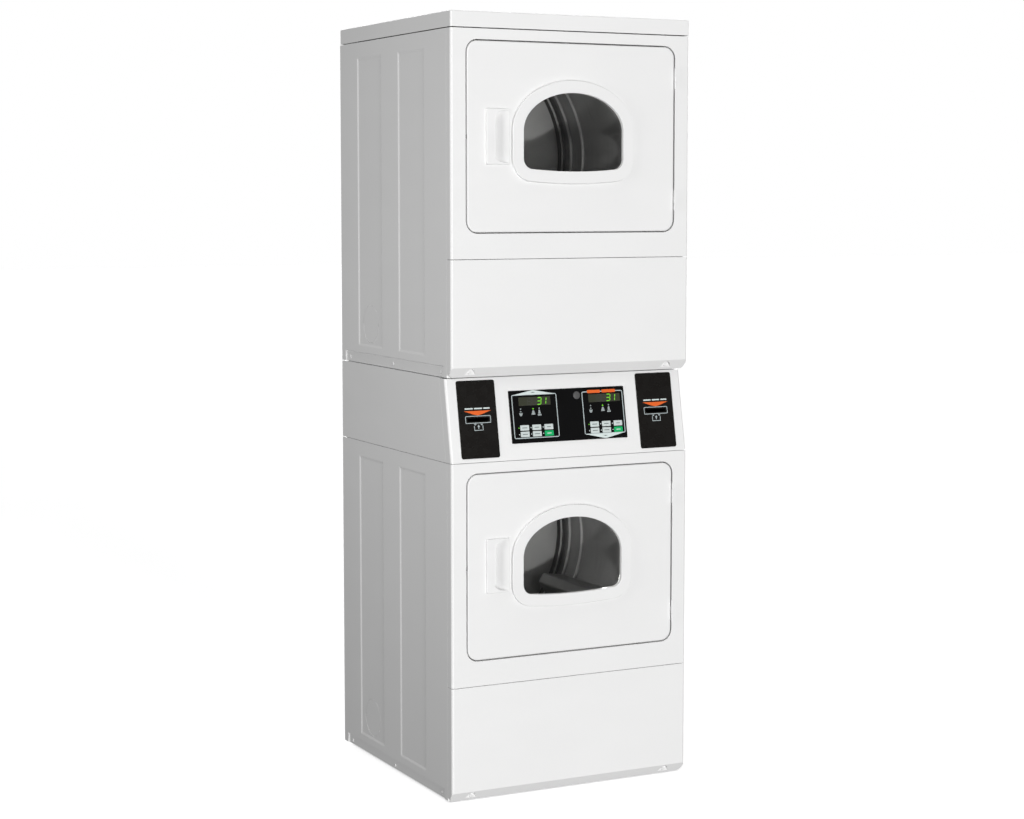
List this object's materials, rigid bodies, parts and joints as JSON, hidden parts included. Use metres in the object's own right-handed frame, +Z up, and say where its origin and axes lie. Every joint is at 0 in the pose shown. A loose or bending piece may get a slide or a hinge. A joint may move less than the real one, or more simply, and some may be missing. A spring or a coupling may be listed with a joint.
{
  "type": "stacked tumble dryer",
  "caption": "Tall white stack of two front-loading tumble dryers with windowed doors and a shared sloping control console between them, worked by push keys and payment cards.",
  "frame": {"origin": "on the floor, at the centre of the bounding box seen from above", "axes": "+Z up, the doors face -Y, +X to the right for someone who faces the doors"},
  "size_m": [0.683, 0.719, 1.985],
  "materials": {
    "white_enamel": "baked gloss enamel",
    "white_plastic": "satin",
    "tinted_glass": "polished, tinted",
    "drum_steel": "satin",
    "galvanised_steel": "spangled zinc",
    "plated_steel": "zinc plated",
    "motor_steel": "satin black",
    "black_plate": "satin black",
    "black_overlay": "fine textured black",
    "grey_key": "satin",
    "green_key": "satin",
    "grey_plastic": "moulded",
    "circuit_board": "solder mask",
    "black_rubber": "moulded",
    "felt": "pressed felt"
  },
  "bodies": {
    "cabinet": {"base_frames": "galvanised_steel", "levelling_legs": "plated_steel", "lower_side_panels": "white_enamel", "upper_side_panels": "white_enamel", "console_side_panels": "white_enamel", "rear_panels": "galvanised_steel", "top_panel": "white_enamel", "lower_front_panel": "white_enamel", "upper_front_panel": "white_enamel", "lower_access_panel": "white_enamel", "upper_access_panel": "white_enamel", "console_panel": "white_enamel", "display_panel": "black_overlay", "card_readers": "black_plate", "control_board": "circuit_board", "front_bulkheads": "white_enamel", "rear_bulkheads": "galvanised_steel", "drum_seals": "felt", "drive_motors": "motor_steel", "blower_housings": "grey_plastic", "exhaust_ducts": "galvanised_steel", "heater_boxes": "galvanised_steel", "drive_belts": "black_rubber", "cabinet_screws": "white_enamel", "door_seals": "black_rubber", "cabinet_door_fittings": "white_enamel"},
    "lower_door": {"lower_door_outer_panel": "white_enamel", "lower_door_liner": "white_enamel", "lower_door_window": "tinted_glass", "lower_door_handle": "white_plastic", "lower_door_hinges": "white_enamel"},
    "lower_drum": {"lower_drum": "drum_steel"},
    "lower_left_roller": {"lower_left_roller": "black_rubber"},
    "lower_right_roller": {"lower_right_roller": "black_rubber"},
    "lower_motor_rotor": {"lower_motor_rotor": "plated_steel"},
    "lower_idler_arm": {"lower_idler_arm": "plated_steel"},
    "lower_lint_filter": {"lower_lint_filter": "grey_plastic"},
    "lower_key_1": {"lower_key_1": "grey_key"},
    "lower_key_2": {"lower_key_2": "grey_key"},
    "lower_key_3": {"lower_key_3": "grey_key"},
    "lower_key_4": {"lower_key_4": "grey_key"},
    "lower_key_5": {"lower_key_5": "grey_key"},
    "lower_key_6": {"lower_key_6": "green_key"},
    "upper_door": {"upper_door_outer_panel": "white_enamel", "upper_door_liner": "white_enamel", "upper_door_window": "tinted_glass", "upper_door_handle": "white_plastic", "upper_door_hinges": "white_enamel"},
    "upper_drum": {"upper_drum": "drum_steel"},
    "upper_left_roller": {"upper_left_roller": "black_rubber"},
    "upper_right_roller": {"upper_right_roller": "black_rubber"},
    "upper_motor_rotor": {"upper_motor_rotor": "plated_steel"},
    "upper_idler_arm": {"upper_idler_arm": "plated_steel"},
    "upper_lint_filter": {"upper_lint_filter": "grey_plastic"},
    "upper_key_1": {"upper_key_1": "grey_key"},
    "upper_key_2": {"upper_key_2": "grey_key"},
    "upper_key_3": {"upper_key_3": "grey_key"},
    "upper_key_4": {"upper_key_4": "grey_key"},
    "upper_key_5": {"upper_key_5": "grey_key"},
    "upper_key_6": {"upper_key_6": "green_key"}
  },
  "joints": [
    {"name": "lower_door_hinge", "type": "hinge", "parent": "cabinet", "child": "lower_door", "pos_m": [0.299, -0.3553, 0.59965], "axis": [0, 0, 1], "range_deg": [0, 175]},
    {"name": "lower_drum_spin", "type": "hinge", "parent": "cabinet", "child": "lower_drum", "pos_m": [0, 0, 0.565], "axis": [0, 1, 0], "continuous": true},
    {"name": "lower_left_roller_spin", "type": "hinge", "parent": "cabinet", "child": "lower_left_roller", "pos_m": [-0.1742, 0.27, 0.26328], "axis": [0, 1, 0], "continuous": true},
    {"name": "lower_right_roller_spin", "type": "hinge", "parent": "cabinet", "child": "lower_right_roller", "pos_m": [0.1742, 0.27, 0.26328], "axis": [0, 1, 0], "continuous": true},
    {"name": "lower_motor_spin", "type": "hinge", "parent": "cabinet", "child": "lower_motor_rotor", "pos_m": [0.15, -0.15, 0.135], "axis": [0, 1, 0], "continuous": true},
    {"name": "lower_idler_swing", "type": "hinge", "parent": "cabinet", "child": "lower_idler_arm", "pos_m": [-0.165, -0.061, 0.17], "axis": [0, 1, 0], "range_deg": [0, 18], "stiffness_Nm_per_rad": 3, "springref_deg": -17.19},
    {"name": "lower_lint_filter_lift", "type": "slide", "parent": "cabinet", "child": "lower_lint_filter", "axis": [0, 0, -1], "range_m": [-0.235, 0]},
    {"name": "lower_key_1_press", "type": "slide", "parent": "cabinet", "child": "lower_key_1", "axis": [0, 0.9824, -0.1867], "range_m": [0, 0.0008], "stiffness_N_per_m": 400, "springref_m": -0.0012},
    {"name": "lower_key_2_press", "type": "slide", "parent": "cabinet", "child": "lower_key_2", "axis": [0, 0.9824, -0.1867], "range_m": [0, 0.0008], "stiffness_N_per_m": 400, "springref_m": -0.0012},
    {"name": "lower_key_3_press", "type": "slide", "parent": "cabinet", "child": "lower_key_3", "axis": [0, 0.9824, -0.1867], "range_m": [0, 0.0008], "stiffness_N_per_m": 400, "springref_m": -0.0012},
    {"name": "lower_key_4_press", "type": "slide", "parent": "cabinet", "child": "lower_key_4", "axis": [0, 0.9824, -0.1867], "range_m": [0, 0.0008], "stiffness_N_per_m": 400, "springref_m": -0.0012},
    {"name": "lower_key_5_press", "type": "slide", "parent": "cabinet", "child": "lower_key_5", "axis": [0, 0.9824, -0.1867], "range_m": [0, 0.0008], "stiffness_N_per_m": 400, "springref_m": -0.0012},
    {"name": "lower_key_6_press", "type": "slide", "parent": "cabinet", "child": "lower_key_6", "axis": [0, 0.9824, -0.1867], "range_m": [0, 0.0008], "stiffness_N_per_m": 400, "springref_m": -0.0012},
    {"name": "upper_door_hinge", "type": "hinge", "parent": "cabinet", "child": "upper_door", "pos_m": [0.299, -0.3553, 1.67765], "axis": [0, 0, 1], "range_deg": [0, 175]},
    {"name": "upper_drum_spin", "type": "hinge", "parent": "cabinet", "child": "upper_drum", "pos_m": [0, 0, 1.643], "axis": [0, 1, 0], "continuous": true},
    {"name": "upper_left_roller_spin", "type": "hinge", "parent": "cabinet", "child": "upper_left_roller", "pos_m": [-0.1742, 0.27, 1.34128], "axis": [0, 1, 0], "continuous": true},
    {"name": "upper_right_roller_spin", "type": "hinge", "parent": "cabinet", "child": "upper_right_roller", "pos_m": [0.1742, 0.27, 1.34128], "axis": [0, 1, 0], "continuous": true},
    {"name": "upper_motor_spin", "type": "hinge", "parent": "cabinet", "child": "upper_motor_rotor", "pos_m": [0.15, -0.15, 1.213], "axis": [0, 1, 0], "continuous": true},
    {"name": "upper_idler_swing", "type": "hinge", "parent": "cabinet", "child": "upper_idler_arm", "pos_m": [-0.165, -0.061, 1.248], "axis": [0, 1, 0], "range_deg": [0, 18], "stiffness_Nm_per_rad": 3, "springref_deg": -17.19},
    {"name": "upper_lint_filter_lift", "type": "slide", "parent": "cabinet", "child": "upper_lint_filter", "axis": [0, 0, -1], "range_m": [-0.235, 0]},
    {"name": "upper_key_1_press", "type": "slide", "parent": "cabinet", "child": "upper_key_1", "axis": [0, 0.9824, -0.1867], "range_m": [0, 0.0008], "stiffness_N_per_m": 400, "springref_m": -0.0012},
    {"name": "upper_key_2_press", "type": "slide", "parent": "cabinet", "child": "upper_key_2", "axis": [0, 0.9824, -0.1867], "range_m": [0, 0.0008], "stiffness_N_per_m": 400, "springref_m": -0.0012},
    {"name": "upper_key_3_press", "type": "slide", "parent": "cabinet", "child": "upper_key_3", "axis": [0, 0.9824, -0.1867], "range_m": [0, 0.0008], "stiffness_N_per_m": 400, "springref_m": -0.0012},
    {"name": "upper_key_4_press", "type": "slide", "parent": "cabinet", "child": "upper_key_4", "axis": [0, 0.9824, -0.1867], "range_m": [0, 0.0008], "stiffness_N_per_m": 400, "springref_m": -0.0012},
    {"name": "upper_key_5_press", "type": "slide", "parent": "cabinet", "child": "upper_key_5", "axis": [0, 0.9824, -0.1867], "range_m": [0, 0.0008], "stiffness_N_per_m": 400, "springref_m": -0.0012},
    {"name": "upper_key_6_press", "type": "slide", "parent": "cabinet", "child": "upper_key_6", "axis": [0, 0.9824, -0.1867], "range_m": [0, 0.0008], "stiffness_N_per_m": 400, "springref_m": -0.0012}
  ],
  "couplings": [
    {"joint": "lower_left_roller_spin", "follows": "lower_drum_spin", "ratio": -9.875},
    {"joint": "lower_right_roller_spin", "follows": "lower_drum_spin", "ratio": -9.875},
    {"joint": "lower_motor_spin", "follows": "lower_drum_spin", "ratio": 20.61},
    {"joint": "upper_left_roller_spin", "follows": "upper_drum_spin", "ratio": -9.875},
    {"joint": "upper_right_roller_spin", "follows": "upper_drum_spin", "ratio": -9.875},
    {"joint": "upper_motor_spin", "follows": "upper_drum_spin", "ratio": 20.61}
  ]
}
